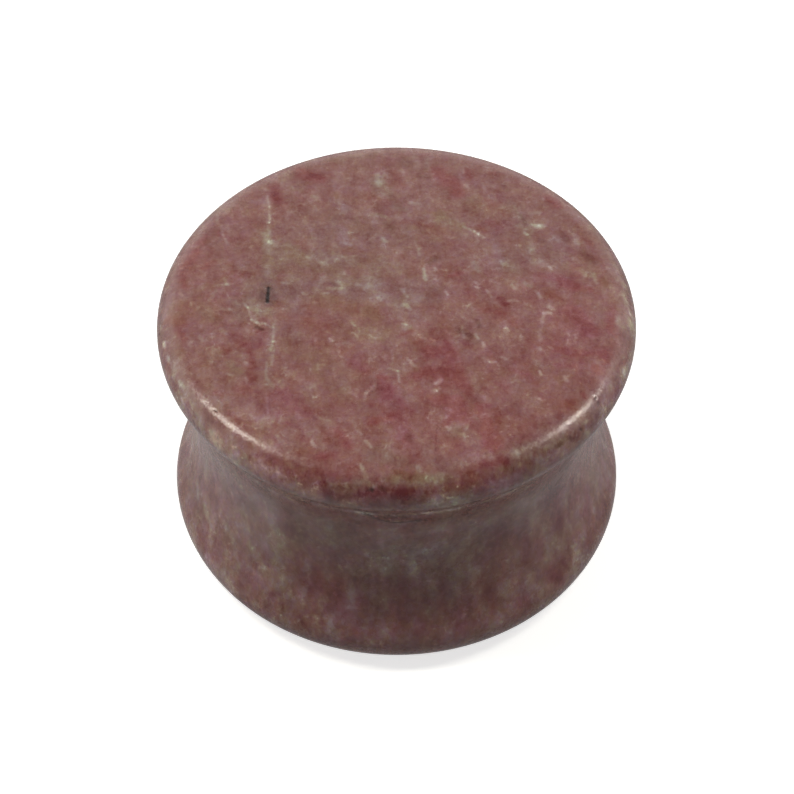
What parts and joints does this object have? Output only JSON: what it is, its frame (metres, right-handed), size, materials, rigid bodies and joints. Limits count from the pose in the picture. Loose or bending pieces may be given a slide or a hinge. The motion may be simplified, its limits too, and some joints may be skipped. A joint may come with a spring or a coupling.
{
  "type": "double flared ear plug",
  "caption": "Round solid plug of polished mottled pink stone with a hollow waist between two flared ends, worn in a stretched ear lobe.",
  "frame": {"origin": "centre of the lower end face, which the plug stands on", "axes": "+Z along the plug's axis, out of the upper end face, which is the one that shows when the plug is worn"},
  "size_m": [0.0254, 0.0254, 0.0159],
  "materials": {
    "polished_stone": "polished"
  },
  "bodies": {
    "root": {"stone_plug": "polished_stone"}
  },
  "joints": []
}
